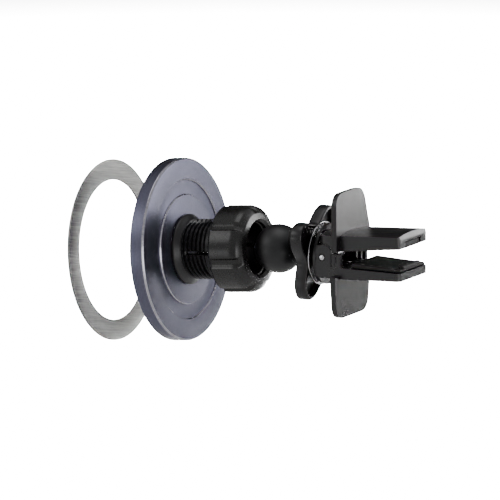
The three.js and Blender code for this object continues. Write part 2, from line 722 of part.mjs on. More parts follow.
function upperJaw() {
  const roofUnder = UPPER_TOP - UPPER_ROOF;
  const end = UPPER_TIP_X + UPPER_TIP_SLANT;
  const top = UPPER_TOP + UPPER_CROWN;
  const side = outline([
    [UPPER_HEEL_X, roofUnder],
    [0, roofUnder],
    [EAR_HALF, undersideAt(0)],
    [UPPER_TIP_X, UPPER_SIDE_TIP],
    [end, UPPER_TIP_TOP - UPPER_TIP_EDGE],
    [end - UPPER_TIP_EDGE, top],
    [UPPER_HEEL_X, top],
  ]);
  const shell = alongY(side, -HALF, HALF)
    .intersect(alongZ(upperPlan(), -1, top + 1)).intersect(underCrown());
  const wing = alongX(
    wingOutline(undersideAt(UPPER_WING_X), UPPER_WING_TOP, UPPER_WING_HALF_END),
    UPPER_WING_X, UPPER_WING_X + WING_THICKNESS);
  const inside = UPPER_TIP_X - WALL;
  const hollow = block(
    [UPPER_HEEL_X - 1, -INNER_HALF, -1], [inside, INNER_HALF, roofUnder - GAP]);
  const notch = block([inside - 1, -NOTCH_HALF, -1], [end + 1, NOTCH_HALF, NOTCH_TOP]);
  const earRoom = (from, to) => crossBar(EAR_TOP + GAP, 0, 0, from, to, HEAD_SIDES);
  return shell.add(wing).subtract(hollow).subtract(notch)
    .subtract(earRoom(INNER_HALF - SLOT, WING_HALF_BASE + 1))
    .subtract(earRoom(-WING_HALF_BASE - 1, SLOT - INNER_HALF))
    .add(lug(1)).add(lug(-1))
    .subtract(crossBar(PIN_R + SLOT, 0, 0, -HALF, HALF, SMALL_SIDES));
}

/** A rubber block in the upper jaw's hollow, its end showing in the notch at the tip. */
function upperPad() {
  const top = NOTCH_TOP - GAP;
  const inside = UPPER_TIP_X - WALL - GAP;
  const under = (x) => undersideAt(x) - PAD_PROUD;
  const slab = (front, across) => alongY(outline([
    [UPPER_PAD_BACK, under(UPPER_PAD_BACK)], [front, under(front)], [front, top],
    [UPPER_PAD_BACK, top]]), -across, across);
  return slab(inside, INNER_HALF - GAP).add(slab(UPPER_TIP_X - SLOT, NOTCH_HALF - GAP));
}

// ---------------------------------------------------------------- torsion spring
/** The wire's middle line: a lower leg, the coil round the pin and an upper leg. */
class SpringLine extends THREE.Curve {
  getPoint(t, target = new THREE.Vector3()) {
    const inCoil = THREE.MathUtils.clamp((t - LEG_SHARE) / (1 - 2 * LEG_SHARE), 0, 1);
    const angle = -Math.PI / 2 - inCoil * COIL_TURNS * 2 * Math.PI;
    target.set(
      PIN_X + COIL_R * Math.cos(angle),
      COIL_HALF * (2 * inCoil - 1),
      PIN_Z + COIL_R * Math.sin(angle));
    const lower = Math.max(0, LEG_SHARE - t) / LEG_SHARE;
    const upper = Math.max(0, t - 1 + LEG_SHARE) / LEG_SHARE;
    target.x += (lower + upper) * LEG_REACH;
    target.z += upper * LEG_REACH * LEG_RISE - lower * LEG_DROP;
    return target;
  }
}

function torsionSpring() {
  const section = new THREE.Shape();
  section.absarc(0, 0, WIRE_R, 0, 2 * Math.PI, false);
  const extrude = { steps: 72, curveSegments: 3, bevelEnabled: false, extrudePath: new SpringLine() };
  return solid(new THREE.ExtrudeGeometry(section, extrude));
}

// ---------------------------------------------------------------- assembly
const phoneMount = new THREE.Group();
phoneMount.name = 'phone_mount';
phoneMount.position.set(-GRIP_X, 0, -GRIP_Z);

const head = new THREE.Group();
head.rotation.y = -rad(HEAD_PITCH);
head.add(piece('steel_ring', steelRing(), brushedSteel));
head.add(piece('ring_adhesive', ringAdhesive(), tapeFilm));
head.add(piece('disc_housing', discHousing(), anodised));
head.add(piece('face_pad', facePad(), softPad));
head.add(piece('shunt_ring', shuntRing(), zincSteel));
head.add(piece('magnet_carrier', magnetCarrier(), blackPlastic));
for (let i = 0; i < MAGNET_COUNT; i += 1) {
  head.add(piece(`magnet_${i + 1}`, magnet(i), magnetNickel));
}
for (let i = 0; i < FLANGE_SCREWS; i += 1) {
  head.add(piece(`flange_screw_${i + 1}`, flangeScrew(i), zincSteel));
}
head.add(piece('socket_neck', socketNeck(), blackPlastic));
head.add(piece('collar_nut', collarNut(), blackPlastic));
head.add(piece('ball', ball(), ballRubber));
phoneMount.add(head);

phoneMount.add(piece('ball_stud', ballStud(), zincSteel));
phoneMount.add(piece('clamp_knob', clampKnob(), blackPlastic));
phoneMount.add(piece('clamp_washer', clampWasher(), chrome));
phoneMount.add(piece('clip_body', clipBody(), blackPlastic));
phoneMount.add(piece('pivot_pin', pivotPin(), chrome));
phoneMount.add(piece('lower_pad', lowerPad(), padRubber));
phoneMount.add(piece('torsion_spring', torsionSpring(), chrome));

const jaw = new THREE.Group();
jaw.position.set(PIN_X, 0, PIN_Z);
jaw.rotation.y = -rad(JAW_OPEN);
jaw.add(piece('upper_jaw', upperJaw(), blackPlastic));
jaw.add(piece('upper_pad', upperPad(), padRubber));
phoneMount.add(jaw);

export default phoneMount;
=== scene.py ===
"""The looks of a magnetic car phone mount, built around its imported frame.

The mount is a loose steel ring, an anodised magnet disc on a threaded ball socket with a collar nut,
and a vent clip with a ball, a clamping knob, a bright washer and two hinged jaws. Lengths in the
classes are millimetres in the sub-assembly's own axes; a Place turns them into metres in the frame.
"""

import json
import logging
import math
from dataclasses import dataclass
from enum import Enum

import bmesh
import bpy
import numpy as np
from mathutils import Matrix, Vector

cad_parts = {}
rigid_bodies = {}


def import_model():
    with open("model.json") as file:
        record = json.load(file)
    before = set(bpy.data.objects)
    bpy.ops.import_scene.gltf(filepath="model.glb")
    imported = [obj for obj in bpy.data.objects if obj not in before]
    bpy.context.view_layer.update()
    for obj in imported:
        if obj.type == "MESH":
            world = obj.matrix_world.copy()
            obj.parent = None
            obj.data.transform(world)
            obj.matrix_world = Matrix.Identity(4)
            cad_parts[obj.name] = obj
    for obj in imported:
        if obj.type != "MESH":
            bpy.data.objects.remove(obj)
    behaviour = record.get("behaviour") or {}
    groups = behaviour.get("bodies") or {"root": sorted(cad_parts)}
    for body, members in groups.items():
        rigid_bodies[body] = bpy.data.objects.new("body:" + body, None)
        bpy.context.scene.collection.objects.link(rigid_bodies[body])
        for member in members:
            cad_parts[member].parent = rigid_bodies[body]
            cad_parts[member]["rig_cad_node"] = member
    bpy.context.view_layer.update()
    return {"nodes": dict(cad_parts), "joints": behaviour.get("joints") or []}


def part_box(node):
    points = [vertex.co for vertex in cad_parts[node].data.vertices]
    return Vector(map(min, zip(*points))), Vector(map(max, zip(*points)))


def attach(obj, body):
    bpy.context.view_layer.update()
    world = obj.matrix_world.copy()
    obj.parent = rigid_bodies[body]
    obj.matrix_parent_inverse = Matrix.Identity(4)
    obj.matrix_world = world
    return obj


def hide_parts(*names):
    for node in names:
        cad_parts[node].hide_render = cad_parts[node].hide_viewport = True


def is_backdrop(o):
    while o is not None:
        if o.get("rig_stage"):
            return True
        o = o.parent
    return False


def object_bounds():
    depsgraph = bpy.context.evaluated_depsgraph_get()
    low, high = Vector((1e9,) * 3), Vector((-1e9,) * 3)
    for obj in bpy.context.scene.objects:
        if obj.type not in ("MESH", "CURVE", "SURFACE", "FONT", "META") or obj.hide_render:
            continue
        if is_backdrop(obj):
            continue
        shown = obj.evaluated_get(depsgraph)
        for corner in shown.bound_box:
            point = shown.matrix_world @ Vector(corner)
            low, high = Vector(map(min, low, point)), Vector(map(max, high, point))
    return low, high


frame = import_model()

LOG = logging.getLogger("phone_mount")
MM = 0.001
TAU = 2 * math.pi


# ---------------------------------------------------------------------------- places in the frame
@dataclass(frozen=True)
class Place:
    """A sub-assembly's own axes: x runs along it, y is the frame's Y, and z stands across both."""

    origin: np.ndarray
    along: np.ndarray

    def axes(self) -> np.ndarray:
        """Own x, y and z as the rows of a matrix."""
        x = self.along / np.linalg.norm(self.along)
        y = np.array([0.0, 1.0, 0.0])
        return np.array([x, y, np.cross(x, y)])

    def out(self, points: np.ndarray) -> np.ndarray:
        """Own millimetres to metres in the frame: origin + point times the axes."""
        return self.origin + (points * MM) @ self.axes()

    def own(self, points: np.ndarray) -> np.ndarray:
        """Metres in the frame to own millimetres, the reverse of out."""
        return (points - self.origin) @ self.axes().T / MM


def joint(name: str) -> dict:
    """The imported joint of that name."""
    return next(j for j in frame["joints"] if j["name"] == name)


def vertices(node: str) -> np.ndarray:
    """A node's vertices as rows, in metres in the frame."""
    mesh = frame["nodes"][node].data
    flat = np.empty(len(mesh.vertices) * 3)
    mesh.vertices.foreach_get("co", flat)
    return flat.reshape(-1, 3)


@dataclass(frozen=True)
class Reach:
    """How far a node reaches in a place's own axes: radius about x, and lowest and highest x, y, z."""

    radius: float
    bore: float
    low: np.ndarray
    high: np.ndarray


def reach(node: str, place: Place) -> Reach:
    """Measure a node in a place's axes.

    Args:
        node: the CAD node's name.
        place: the axes to measure in.

    Returns:
        Its largest and smallest radius about own x, and its corners, in millimetres.
    """
    points = place.own(vertices(node))
    radii = np.hypot(points[:, 1], points[:, 2])
    return Reach(radii.max(), radii.min(), points.min(0), points.max(0))


BALL_CENTRE = np.array(joint("head_tilt")["pos_m"])
HEAD = Place(BALL_CENTRE, np.array(joint("head_slide")["axis"]))
CLIP = Place(BALL_CENTRE, np.array([1.0, 0.0, 0.0]))
PIN = Place(np.array(joint("jaw_close")["pos_m"]), np.array([1.0, 0.0, 0.0]))


# ---------------------------------------------------------------------------- surfaces
def rounded(corners: list[tuple[float, float, float]], steps: int = 6, closed: bool = True) -> np.ndarray:
    """Round a polygon's corners.

    Each corner becomes the parabola between the two points one radius back along its edges, with
    the corner as its control point: (1-t)^2 a + 2t(1-t) p + t^2 b.

    Args:
        corners: (u, v, radius) for each corner.
        steps: points on each corner.
        closed: whether the last corner joins the first.

    Returns:
        The outline's points, one row each.
    """
    table = np.array(corners, float)
    p, radius = table[:, :2], table[:, 2]
    before, after = np.roll(p, 1, 0) - p, np.roll(p, -1, 0) - p
    if not closed:
        radius = radius * np.r_[0, np.ones(len(p) - 2), 0]
    long_before, long_after = np.linalg.norm(before, axis=1), np.linalg.norm(after, axis=1)
    cut = np.minimum(radius, 0.48 * np.minimum(long_before, long_after))
    a = p + before * (cut / long_before)[:, None]
    b = p + after * (cut / long_after)[:, None]
    t = np.linspace(0, 1, steps)[None, :, None]
    curve = (1 - t) ** 2 * a[:, None] + 2 * t * (1 - t) * p[:, None] + t**2 * b[:, None]
    return curve.reshape(-1, 2)


def skin(name: str, grid: np.ndarray, wrap_rows: bool = False) -> bpy.types.Object:
    """Make a closed mesh from a grid of points whose columns always wrap round.

    Args:
        name: the piece's name.
        grid: points as rows by columns by 3, in metres. Rows that shrink to a point become a pole.
        wrap_rows: whether the last row joins the first, as on a ring.

    Returns:
        The object, at the origin, with doubles merged, faces outward and smooth.
    """
    rows, columns = grid.shape[:2]
    row = np.arange(rows if wrap_rows else rows - 1)[:, None]
    column = np.arange(columns)[None, :]
    after_row, after_column = (row + 1) % rows, (column + 1) % columns
    quads = np.stack(np.broadcast_arrays(
        row * columns + column, row * columns + after_column,
        after_row * columns + after_column, after_row * columns + column), -1).reshape(-1, 4)
    mesh = bpy.data.meshes.new(name)
    mesh.from_pydata(grid.reshape(-1, 3).tolist(), [], quads.tolist())
    return finished(name, mesh)


def finished(name: str, mesh: bpy.types.Mesh, smooth_angle: float = 40) -> bpy.types.Object:
    """Merge a mesh's doubles, turn its faces outward, shade it and link it as an object.

    Args:
        name: the piece's name.
        mesh: the mesh to finish.
        smooth_angle: degrees, past which an edge stays sharp.

    Returns:
        The linked object at the origin.
    """
    work = bmesh.new()
    work.from_mesh(mesh)
    bmesh.ops.remove_doubles(work, verts=work.verts, dist=2e-6)
    bmesh.ops.dissolve_degenerate(work, edges=work.edges, dist=1e-7)
    bmesh.ops.recalc_face_normals(work, faces=work.faces)
    for edge in work.edges:
        edge.smooth = len(edge.link_faces) != 2 or edge.calc_face_angle(0) < math.radians(smooth_angle)
    work.to_mesh(mesh)
    work.free()
    mesh.polygons.foreach_set("use_smooth", np.ones(len(mesh.polygons), bool))
    piece = bpy.data.objects.new(name, mesh)
    bpy.context.scene.collection.objects.link(piece)
    return piece


def turned(
    name: str, place: Place, profile: np.ndarray, sides: int = 160, ring: bool = False
) -> bpy.types.Object:
    """Turn a profile about a place's x axis: (x, r cos a, r sin a) for each angle a.

    Args:
        name: the piece's name.
        place: whose x axis it turns about.
        profile: (radius, x) rows in millimetres.
        sides: steps round the turn.
        ring: whether the profile closes on itself.

    Returns:
        The piece.
    """
    angle = np.arange(sides) / sides * TAU
    radius, x = profile[:, :1], profile[:, 1:]
    grid = np.stack(np.broadcast_arrays(x, radius * np.cos(angle), radius * np.sin(angle)), -1)
    return skin(name, place.out(grid), wrap_rows=ring)


def tube(name: str, place: Place, path: np.ndarray, radius: float, sides: int = 12) -> bpy.types.Object:
    """Carry a circle along a path.

    The circle's two directions at each point are the path's direction crossed with a vector that
    is nowhere along it, and that result crossed with the direction again. The end circles shrink
    to the path's ends, so the wire closes.

    Args:
        name: the piece's name.
        place: whose axes the path is in.
        path: points in millimetres.
        radius: the wire's radius in millimetres.
        sides: steps round the wire.

    Returns:
        The piece.
    """
    direction = np.gradient(path, axis=0)
    direction /= np.linalg.norm(direction, axis=1)[:, None]
    first = np.cross(direction, np.array([0.0, 1.0, 0.001]))
    first /= np.linalg.norm(first, axis=1)[:, None]
    second = np.cross(direction, first)
    angle = np.arange(sides) / sides * TAU
    ends = np.ones(len(path))
    ends[[0, -1]] = 0
    rim = radius * ends[:, None, None]
    circle = np.cos(angle)[None, :, None] * first[:, None] + np.sin(angle)[None, :, None] * second[:, None]
    return skin(name, place.out(path[:, None] + rim * circle))


def carved(piece: bpy.types.Object, cutters: list[bpy.types.Object]) -> bpy.types.Object:
    """Cut other closed pieces out of a piece and remove them.

    Args:
        piece: the piece to cut.
        cutters: closed pieces to take away.

    Returns:
        The same piece with the cuts in its mesh.
    """
    for cutter in cutters:
        cut = piece.modifiers.new("cut", "BOOLEAN")
        cut.object, cut.operation, cut.solver = cutter, "DIFFERENCE", "EXACT"
    bpy.context.view_layer.update()
    result = bpy.data.meshes.new_from_object(piece.evaluated_get(bpy.context.evaluated_depsgraph_get()))
    piece.modifiers.clear()
    piece.data = result
    for cutter in cutters:
        bpy.data.objects.remove(cutter)
    return piece


def moulding(name: str, node: str, edge: float, segments: int = 3) -> bpy.types.Object:
    """A moulded copy of a CAD node: flat facets joined and its edges rounded.

    Args:
        name: the piece's name.
        node: the CAD node it copies and stands for.
        edge: the edges' rounding in millimetres.
        segments: steps across each rounding.

    Returns:
        The piece, with a live Bevel.
    """
    mesh = frame["nodes"][node].data.copy()
    mesh.materials.clear()
    work = bmesh.new()
    work.from_mesh(mesh)
    bmesh.ops.remove_doubles(work, verts=work.verts, dist=5e-6)
    bmesh.ops.dissolve_limit(
        work, angle_limit=math.radians(1.0), verts=work.verts, edges=work.edges, delimit=set())
    work.to_mesh(mesh)
    work.free()
    piece = finished(name, mesh, smooth_angle=32)
    bevel = piece.modifiers.new("rounded edges", "BEVEL")
    bevel.width, bevel.segments = edge * MM, segments
    bevel.limit_method, bevel.angle_limit = "ANGLE", math.radians(32)
    bevel.harden_normals = True
    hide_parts(node)
    return piece


def box_piece(
    name: str, place: Place, low: tuple[float, float, float], high: tuple[float, float, float]
) -> bpy.types.Object:
    """A plain closed block between two corners in millimetres, used only to cut with."""
    x, y, z = (np.array([a, b]) for a, b in zip(low, high))
    loop_y = y[[0, 1, 1, 0]]
    loop_z = z[[0, 0, 1, 1]]
    rows = np.array([[x[0]] * 4, [x[0]] * 4, [x[1]] * 4, [x[1]] * 4])
    scale = np.array([0.0, 1.0, 1.0, 0.0])[:, None]
    middle_y, middle_z = y.mean(), z.mean()
    across, upright = middle_y + (loop_y - middle_y) * scale, middle_z + (loop_z - middle_z) * scale
    grid = np.stack([rows, across, upright], -1)
    return skin(name, place.out(grid))


# ---------------------------------------------------------------------------- materials
def linear(colour: str) -> tuple[float, float, float, float]:
    """An sRGB hex colour as linear RGBA."""
    parts = np.array([int(colour[i:i + 2], 16) / 255 for i in (1, 3, 5)])
    low, high = parts / 12.92, ((parts + 0.055) / 1.055) ** 2.4
    return (*np.where(parts <= 0.04045, low, high).tolist(), 1.0)


def add(
    tree: bpy.types.NodeTree, kind: str, settings: dict | None = None, links: dict | None = None
) -> bpy.types.Node:
    """Add a node with its settings and links.

    Args:
        tree: the node tree.
        kind: the node's type, such as ShaderNodeBump.
        settings: attributes and input values, by attribute or input name.
        links: input name to the output socket that feeds it.

    Returns:
        The node.
    """
    node = tree.nodes.new(kind)
    for name, value in (settings or {}).items():
        if hasattr(node, name):
            setattr(node, name, value)
        else:
            node.inputs[name].default_value = value
    for name, source in (links or {}).items():
        tree.links.new(source, node.inputs[name])
    return node


def ramp(
    tree: bpy.types.NodeTree, source: bpy.types.NodeSocket,
    first: tuple[float, tuple], last: tuple[float, tuple]
) -> bpy.types.NodeSocket:
    """A ramp on a value between two (position, RGBA) stops, as its colour socket."""
    node = add(tree, "ShaderNodeValToRGB", links={"Fac": source})
    for element, stop in zip(node.color_ramp.elements, (first, last)):
        element.position, element.color = stop
    return node.outputs["Color"]


# Where the grain's noise turns from the dark colour to the light one.
GRAIN_SPAN = (0.36, 0.64)
# What the grain and the blotches add up to between the glossiest and the dullest places.
GLOSS_SPAN = (0.6, 1.4)
# How much larger the noise's first octave is than the grain.
FIRST_OCTAVE = 4


class Grain(Enum):
    """How a surface was finished: each value is the stretch of its noise along x, y and z."""

    EVEN = (1.0, 1.0, 1.0)
    BRUSHED = (1.0, 0.02, 1.0)


@dataclass(frozen=True)
class Finish:
    """A surface finish: two close colours mixed by a grain, with its own roughness and relief.

    grain_mm is the grain's middle size: its noise runs from four times that down to a quarter.
    blotch_mm is the size of the slow change in gloss over the surface, and relief_mm the grain's
    height. turn gives the grain its direction, in radians about x, y and z.
    """

    name: str
    dark: str
    light: str
    roughness: float
    metallic: float = 0.0
    ior: float = 1.5
    grain: Grain = Grain.EVEN
    grain_mm: float = 0.3
    blotch_mm: float = 9.0
    relief_mm: float = 0.01
    gloss_change: float = 0.08
    turn: tuple[float, float, float] = (0.0, 0.0, 0.0)
    anisotropic: float = 0.0

    def coordinates(self, tree: bpy.types.NodeTree) -> bpy.types.NodeSocket:
        """Object coordinates turned to the finish's own direction."""
        source = add(tree, "ShaderNodeTexCoord").outputs["Object"]
        return add(tree, "ShaderNodeMapping", {"Rotation": self.turn}, {"Vector": source}).outputs["Vector"]

    def pattern(self, tree: bpy.types.NodeTree) -> bpy.types.NodeSocket:
        """The grain as a value from 0 to 1: noise at the grain's size, stretched as it was made."""
        stretch = add(
            tree, "ShaderNodeMapping", {"Scale": self.grain.value}, {"Vector": self.coordinates(tree)})
        noise = add(
            tree, "ShaderNodeTexNoise",
            {"Scale": 1 / (self.grain_mm * MM) / FIRST_OCTAVE, "Detail": 4.0, "Roughness": 0.6},
            {"Vector": stretch.outputs["Vector"]})
        return noise.outputs["Fac"]

    def build(self) -> bpy.types.Material:
        """The finish as a node material on a Principled shader.

        Returns:
            The new material.
        """
        material = bpy.data.materials.new(self.name)
        material.use_nodes = True
        tree = material.node_tree
        tree.nodes.clear()
        grain = self.pattern(tree)
        blotch = add(
            tree, "ShaderNodeTexNoise", {"Scale": 1 / (self.blotch_mm * MM), "Detail": 3.0},
            {"Vector": add(tree, "ShaderNodeTexCoord").outputs["Object"]}).outputs["Fac"]
        colour = ramp(
            tree, grain, (GRAIN_SPAN[0], linear(self.dark)), (GRAIN_SPAN[1], linear(self.light)))
        mixed = add(tree, "ShaderNodeMath", {"operation": "ADD"}, {0: grain, 1: blotch}).outputs[0]
        roughness = add(tree, "ShaderNodeMapRange", {
            "From Min": GLOSS_SPAN[0], "From Max": GLOSS_SPAN[1],
            "To Min": max(0.02, self.roughness - self.gloss_change),
            "To Max": self.roughness + self.gloss_change}, {"Value": mixed}).outputs["Result"]
        bump = add(
            tree, "ShaderNodeBump", {"Strength": 0.6, "Distance": self.relief_mm * MM}, {"Height": grain})
        shader = add(
            tree, "ShaderNodeBsdfPrincipled", {"Metallic": self.metallic},
            {"Base Color": colour, "Roughness": roughness, "Normal": bump.outputs["Normal"]})
        if self.metallic < 0.5:
            shader.inputs["IOR"].default_value = self.ior
        shader.inputs["Anisotropic"].default_value = self.anisotropic
        add(tree, "ShaderNodeOutputMaterial", links={"Surface": shader.outputs["BSDF"]})
        return material


# Anodised aluminium, fine blasted then dyed grey: a soft metal sheen with a faint grain.
ANODISED = Finish(
    "anodised_aluminium_grey", "#5b5b6c", "#626274", 0.36, 0.9, grain_mm=0.12, blotch_mm=30.0,
    relief_mm=0.0008, gloss_change=0.015)
# Painted highlight: a paler, glossier metal on the rim's and the channel's chamfers, thin pale lines that
# stand in for the light these edges catch.
CHAMFER_PAINTED_HIGHLIGHT = Finish(
    "aluminium_with_painted_chamfer_highlight", "#a6a5ae", "#b9b8c2", 0.24, 1.0, grain_mm=0.3, relief_mm=0.002)
# Spring steel strip, belt brushed: long straight hairlines that catch the light.
BRUSHED = Finish(
    "brushed_stainless_strip", "#7f7f7e", "#9c9c9a", 0.36, 1.0, grain=Grain.BRUSHED, grain_mm=0.08,
    relief_mm=0.001, gloss_change=0.03, turn=(math.radians(11.7), 0.0, 0.0), anisotropic=0.3)
# Polished chrome plate: mirror bright with barely any waviness.
CHROME = Finish(
    "polished_chrome_plate", "#c9c9cc", "#d8d8da", 0.1, 1.0, grain_mm=0.6, relief_mm=0.001,
    gloss_change=0.03)
# Zinc plated screw steel: pale and slightly cloudy.
ZINC = Finish("zinc_plated_steel", "#a9abae", "#bfc0c2", 0.32, 1.0, grain_mm=0.4, relief_mm=0.004)
# Nickel plated magnet: warm grey metal, softly tumbled.
NICKEL = Finish("nickel_plated_magnet", "#a19f9a", "#b5b3ae", 0.28, 1.0, grain_mm=0.5, relief_mm=0.004)
# ABS moulded in a fine spark-eroded tool: satin black with a tight grain.
SATIN_ABS = Finish("satin_black_abs", "#09080a", "#100e11", 0.33, grain_mm=0.22, relief_mm=0.008)
# Glass-filled nylon from a half-polished tool: darker and glossier, a little warm.
NUT_NYLON = Finish("half_gloss_black_nylon", "#080808", "#0e0d0e", 0.27, grain_mm=0.3, relief_mm=0.006)
# Soft-touch rubber over the ball: matte with a peppery grain.
BALL_COAT = Finish("soft_touch_ball_coating", "#070708", "#121114", 0.42, grain_mm=0.3, relief_mm=0.02)
# Moulded rubber pads: dead matte black.
PAD_RUBBER = Finish("matte_moulded_rubber", "#070707", "#0e0e0e", 0.7, grain_mm=0.35, relief_mm=0.02)
# Silicone face: matte charcoal that grips the ring.
SILICONE = Finish("charcoal_silicone_pad", "#1d1e22", "#27282d", 0.6, grain_mm=0.4, relief_mm=0.01)
# Adhesive film with a paper liner.
FILM = Finish("grey_adhesive_film", "#505052", "#5e5e60", 0.55, grain_mm=0.5, relief_mm=0.006)


def dress(piece: bpy.types.Object, material: bpy.types.Material) -> None:
    """Give a piece its only material."""
    piece.data.materials.clear()
    piece.data.materials.append(material)


def place_piece(piece: bpy.types.Object, body: str, nodes: tuple[str, ...] = ()) -> None:
    """Make a piece move with a body, in place of CAD nodes, and report it."""
    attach(piece, body)
    if nodes:
        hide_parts(*nodes)
    LOG.info("%s rides on %s", piece.name, body)


# ---------------------------------------------------------------------------- phone ring
@dataclass
class PhoneRing:
    """The loose steel ring and its adhesive film."""

    edge: float = 0.08

    def build(self) -> None:
        """Build the ring and its film as thin turned rings with softened edges."""
        steel = BRUSHED.build()
        film = FILM.build()
        ring, tape = reach("steel_ring", HEAD), reach("ring_adhesive", HEAD)
        for name, node, part, front, back, material, slot in (
            ("ring_strip", "steel_ring", ring, ring.low[0], ring.high[0], steel, "brushed_steel"),
            ("ring_film", "ring_adhesive", tape, tape.low[0], ring.low[0], film, "tape_film"),
        ):
            profile = rounded([
                (part.bore, front, self.edge), (part.radius, front, self.edge),
                (part.radius, back, self.edge), (part.bore, back, self.edge)], steps=4)
            piece = turned(name, HEAD, profile, sides=224, ring=True)
            dress(piece, material)
            place_piece(piece, "ring", (node,))


# ---------------------------------------------------------------------------- magnet disc
@dataclass
class MagnetDisc:
    """The anodised dish, its face pad and what it holds."""

    chamfer: float = 0.55
    channel_inner: float = 18.0
    channel_outer: float = 23.35
    channel_depth: float = 0.7
    cut: float = 0.35
    groove: float = 0.25
    groove_inside: float = 0.8
    groove_from_rim: float = 1.4

    def dish(self) -> bpy.types.Object:
        """Turn the dish: back land, ring channel, chamfered rim and the cavity for the magnets."""
        part = reach("disc_housing", HEAD)
        pad = reach("face_pad", HEAD)
        carrier = reach("magnet_carrier", HEAD)
        back, front = part.high[0], part.low[0]
        inner = pad.radius + 0.3
        floor = carrier.high[0] + 0.3
        sunk = back - self.channel_depth
        profile = rounded([
            (0.0, back, 0.0),
            (self.channel_inner, back, 0.03), (self.channel_inner + self.cut, back - self.cut, 0.03),
            (self.channel_inner + self.cut, sunk, 0.15), (self.channel_outer - self.cut, sunk, 0.15),
            (self.channel_outer - self.cut, back - self.cut, 0.03), (self.channel_outer, back, 0.03),
            (part.radius - self.chamfer, back, 0.05), (part.radius, back - self.chamfer, 0.15),
            (part.radius, front + self.chamfer, 0.3), (part.radius - self.chamfer, front, 0.25),
            (inner, front, 0.15), (inner, floor, 0.3), (0.0, floor, 0.0)], steps=5, closed=False)
        return turned("disc_dish", HEAD, profile, sides=256)

    def paint_chamfer_highlight(self, dish: bpy.types.Object) -> None:
        """Give the painted-highlight metal to the faces on the rim's and the channel's chamfers: a paler
        colour that stands in for the light they catch.

        A face is on a chamfer when its middle lies in one of the bands of radius and stands off
        the flat back and the channel's floor.
        """
        mesh = dish.data
        middle = np.empty(len(mesh.polygons) * 3)
        mesh.polygons.foreach_get("center", middle)
        own = HEAD.own(middle.reshape(-1, 3))
        radius = np.hypot(own[:, 1], own[:, 2])
        below = own[:, 0].max() - own[:, 0]
        rim = (radius > radius.max() - self.chamfer) & (below > 0.02) & (below < self.chamfer + 0.1)
        inner = np.abs(radius - self.channel_inner) < self.cut
        outer = np.abs(radius - self.channel_outer) < self.cut
        wall = (inner | outer) & (below > 0.02) & (below < self.channel_depth - 0.1)
        # Second material: the painted highlight on the chamfer faces.
        mesh.materials.append(CHAMFER_PAINTED_HIGHLIGHT.build())
        mesh.polygons.foreach_set("material_index", (rim | wall).astype(np.int32))

    def pad(self) -> bpy.types.Object:
        """Turn the face pad, with two fine grooves that frame the ring of magnets."""
        part, magnet = reach("face_pad", HEAD), reach("magnet_1", HEAD)
        back, g = part.high[0], self.groove
        face, bottom = part.low[0] + 0.02, part.low[0] + g
        rim = part.radius + 0.25
        corners = [(0.0, face, 0.0)]
        for radius in (magnet.bore - self.groove_inside, part.radius - self.groove_from_rim):
            corners += [(radius - g, face, 0.1), (radius, bottom, 0.1), (radius + g, face, 0.1)]
        corners += [(rim, face, 0.2), (rim, back, 0.1), (0.0, back, 0.0)]
        return turned("face_silicone", HEAD, rounded(corners, steps=4, closed=False), sides=192)

    def build(self) -> None:
        """Build and dress the disc, and give the parts inside it their metals."""
        dish, pad = self.dish(), self.pad()
        dress(dish, ANODISED.build())
        place_piece(dish, "head", ("disc_housing",))
        dress(pad, SILICONE.build())
        place_piece(pad, "head", ("face_pad",))
        self.paint_chamfer_highlight(dish)
        nickel, zinc, plastic = NICKEL.build(), ZINC.build(), SATIN_ABS.build()
        for node in frame["nodes"].values():
            name = node["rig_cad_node"]
            if name.startswith("magnet_") and name != "magnet_carrier":
                dress(node, nickel)
            elif name.startswith("flange_screw") or name == "shunt_ring":
                dress(node, zinc)
            elif name == "magnet_carrier":
                dress(node, plastic)


